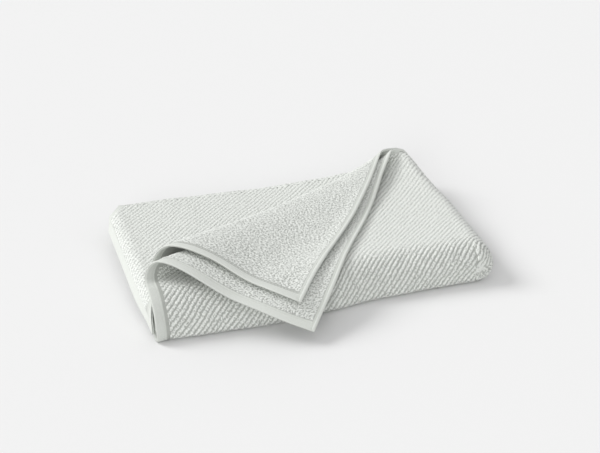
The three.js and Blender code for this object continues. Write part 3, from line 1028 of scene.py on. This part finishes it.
def color_mix(material, color):
    """A mix of colours that starts from a plain one."""
    node = material.node_tree.nodes.new("ShaderNodeMix")
    node.data_type = "RGBA"
    node.inputs[FIRST_COLOR].default_value = color
    return node


def cotton(name, color, deep, fibre):
    """A dull cloth shader. Returns the material, its grain, its colour mix and its bump."""
    material = bpy.data.materials.new(name)
    material.use_nodes = True
    nodes, links = material.node_tree.nodes, material.node_tree.links
    shader = nodes["Principled BSDF"]
    put(shader, DULL)
    where = nodes.new("ShaderNodeTexCoord")
    fibres = nodes.new("ShaderNodeTexNoise")
    put(fibres, {"Scale": fibre["scale"], "Detail": FIBRE_DETAIL})
    links.new(where.outputs["Object"], fibres.inputs["Vector"])
    shade = color_mix(material, deep)
    shade.inputs[SECOND_COLOR].default_value = color
    links.new(shade.outputs[MIXED_COLOR], shader.inputs["Base Color"])
    bump = nodes.new("ShaderNodeBump")
    put(bump, {"Strength": BUMP_STRENGTH, "Distance": fibre["bump"]})
    links.new(bump.outputs["Normal"], shader.inputs["Normal"])
    return material, fibres, shade, bump


def maths(material, operation, *values):
    node = material.node_tree.nodes.new("ShaderNodeMath")
    node.operation = operation
    for socket, value in zip(node.inputs, values):
        if isinstance(value, (int, float)):
            socket.default_value = value
        else:
            material.node_tree.links.new(value, socket)
    return node.outputs[0]


def attribute(material, name, output):
    node = material.node_tree.nodes.new("ShaderNodeAttribute")
    node.attribute_name = name
    return node.outputs[output]


print("cotton:", COTTON[:3])

# %% [markdown]
# ## Finish of the pile
#
# Between the loops of the real pile less light gets in and out. The finish paints that shade into
# the colour, darker towards the foot of the pile: the height kept on the points drives this painted
# shade, and the fibres break it up a little with a fine grain.

# %% Pile finish
PILE_FIBRES = dict(scale=850, bump=0.0006, share=0.3, less=-0.02)
PILE_DEPTH_SHARE = 0.86

pile_cotton, fibres, shade, bump = cotton("pile_cotton", COTTON, COTTON_PAINTED_SHADE_AND_GRAIN, PILE_FIBRES)
links = pile_cotton.node_tree.links
fibre_shade = maths(pile_cotton, "MULTIPLY_ADD", fibres.outputs["Fac"], PILE_FIBRES["share"],
                    PILE_FIBRES["less"])
# Painted shade: the lower the pile, the darker its colour.
depth_shade = maths(pile_cotton, "MULTIPLY", attribute(pile_cotton, "pile", "Fac"), PILE_DEPTH_SHARE)
links.new(maths(pile_cotton, "ADD", fibre_shade, depth_shade), shade.inputs[0])
links.new(fibres.outputs["Fac"], bump.inputs["Height"])
print("pile finish:", pile_cotton.name)

# %% [markdown]
# ## Finish of the hems
#
# The hems are woven flat, in a fine plain weave that runs with the threads, and are a shade darker
# than the pile. The weave is too fine to model, so the finish draws it. Beside the hems the ground
# is seen only between loops or inside a fold, where shade falls, so its colour is painted darker there.

# %% Hem finish
HEM_FIBRES = dict(scale=600, bump=0.00025, share=0.9)
WEAVE = dict(scale=0.26, distortion=0.4, share=0.5)

hem_cotton, fibres, shade, bump = cotton("hem_cotton", HEM_COTTON, HEM_DEEP, HEM_FIBRES)
links = hem_cotton.node_tree.links
threads_at = attribute(hem_cotton, "woven", "Vector")


def threads_along(direction):
    wave = hem_cotton.node_tree.nodes.new("ShaderNodeTexWave")
    wave.bands_direction = direction
    put(wave, {"Scale": WEAVE["scale"], "Distortion": WEAVE["distortion"]})
    links.new(threads_at, wave.inputs["Vector"])
    return wave.outputs["Fac"]


weave = maths(hem_cotton, "MULTIPLY", threads_along("X"), threads_along("Y"))
weave_shade = maths(hem_cotton, "MULTIPLY", weave, WEAVE["share"])
fibre_shade = maths(hem_cotton, "MULTIPLY", fibres.outputs["Fac"], HEM_FIBRES["share"])
links.new(maths(hem_cotton, "ADD", weave_shade, fibre_shade), shade.inputs[0])
links.new(weave, bump.inputs["Height"])
# Painted shade: away from the hem bands the ground takes the darker ground colour.
ground_painted_shade = color_mix(hem_cotton, GROUND_PAINTED_SHADE)
links.new(attribute(hem_cotton, "band", "Fac"), ground_painted_shade.inputs[0])
links.new(shade.outputs[MIXED_COLOR], ground_painted_shade.inputs[SECOND_COLOR])
hem_shader = hem_cotton.node_tree.nodes["Principled BSDF"]
links.new(ground_painted_shade.outputs[MIXED_COLOR], hem_shader.inputs["Base Color"])
print("hem finish:", hem_cotton.name)

# %% [markdown]
# ## Finish of the sewing thread
#
# The thread is a smooth spun cotton in the tone of the hem, a little brighter where it stands proud.

# %% Sewing thread finish, and all finishes put on
THREAD_FIBRES = dict(scale=3000, bump=0.0001)

thread, fibres, shade, bump = cotton("sewing_thread", THREAD_COTTON, HEM_DEEP, THREAD_FIBRES)
for socket in (shade.inputs[0], bump.inputs["Height"]):
    thread.node_tree.links.new(fibres.outputs["Fac"], socket)
ground.data.materials.append(hem_cotton)
stitches.data.materials.append(thread)
for piece in pile_pieces:
    piece.data.materials.append(pile_cotton)
print("finished pieces:", 2 + len(pile_pieces))

# %% [markdown]
# ## Attaching the pieces
#
# Every piece rides on the one fixed body, and all are cotton terry. The ground takes the place of the
# solid of the towel, which is hidden.

for piece in [ground, stitches] + pile_pieces:
    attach(piece, "root")
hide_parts("towel")
print("declared pieces:", 2 + len(pile_pieces))

# %% [markdown]
# ## Surface
#
# The towel lies on a plain pale surface, large enough to fill the view. The flat size of the cloth
# is that of an ordinary bath towel.

# %% Surface
SURFACE_SIZE = 8
SURFACE_COLOR = (0.815, 0.815, 0.815, 1)
SURFACE_ROUGHNESS = 0.9

bpy.ops.mesh.primitive_plane_add(size=SURFACE_SIZE, location=(0, 0, 0))
surface = bpy.context.object
surface.name = "surface"
pale = bpy.data.materials.new("pale_surface")
pale.use_nodes = True
put(pale.node_tree.nodes["Principled BSDF"], {"Base Color": SURFACE_COLOR, "Roughness": SURFACE_ROUGHNESS})
surface.data.materials.append(pale)
print("surface, m:", SURFACE_SIZE)

# %% [markdown]
# ## Light
#
# The main light is soft and comes from the left and from behind. A weaker one comes from the front
# left, for the near side, and a bright surround fills the shadows.

# %% Light
KEY = dict(x=-0.82, y=0.57, elevation=math.radians(38), distance=2.2, spread=28, energy=1.8)
FILL = dict(location=(-1.2, -1.9, 0.9), spread=24, energy=0.75)
WHITE = (1, 1, 1, 1)
SURROUND = 0.65


def aim(obj, target):
    obj.rotation_euler = (Vector(target) - obj.location).to_track_quat("-Z", "Y").to_euler()


def sun(name, location, spread, energy):
    data = bpy.data.lights.new(name, "SUN")
    data.angle = math.radians(spread)
    data.energy = energy
    light = bpy.data.objects.new(name, data)
    light.location = location
    link_object(light)
    aim(light, (0, 0, 0))


key_from = (np.array([KEY["x"], KEY["y"], 0]) * math.cos(KEY["elevation"])
            + np.array([0, 0, math.sin(KEY["elevation"])]))
sun("key", key_from * KEY["distance"], KEY["spread"], KEY["energy"])
sun("fill", FILL["location"], FILL["spread"], FILL["energy"])
world = bpy.data.worlds.new("bright_room")
bpy.context.scene.world = world
world.use_nodes = True
put(world.node_tree.nodes["Background"], {"Color": WHITE, "Strength": SURROUND})
bpy.context.scene.view_settings.view_transform = "Standard"
print("lights:", KEY["energy"], FILL["energy"], SURROUND)

# %% [markdown]
# ## Camera
#
# The camera stands far away with a long lens, to the left of the front and about 30 degrees up. Its
# place was fitted to the corners of the towel in the photograph.

# %% Camera
FOCAL_PIXELS = 1600
IMAGE_WIDTH = 600
SENSOR = 36
AZIMUTH, ELEVATION, DISTANCE = math.radians(-17.8), math.radians(29.8), 1678
TARGET = np.array([12.5, 27.0, 20.0])

camera_data = bpy.data.cameras.new("camera")
camera_data.sensor_width = SENSOR
camera_data.lens = SENSOR * FOCAL_PIXELS / IMAGE_WIDTH
camera = bpy.data.objects.new("camera", camera_data)
backwards = np.array([math.sin(AZIMUTH) * math.cos(ELEVATION), -math.cos(AZIMUTH) * math.cos(ELEVATION),
                      math.sin(ELEVATION)])
camera.location = in_metres(TARGET + DISTANCE * backwards)
link_object(camera)
aim(camera, in_metres(TARGET))
bpy.context.scene.camera = camera
print("lens, mm:", camera_data.lens)

# %% [markdown]
# ## Sizes

# %% Sizes
print("sizes of the solid and of the ground are printed above")
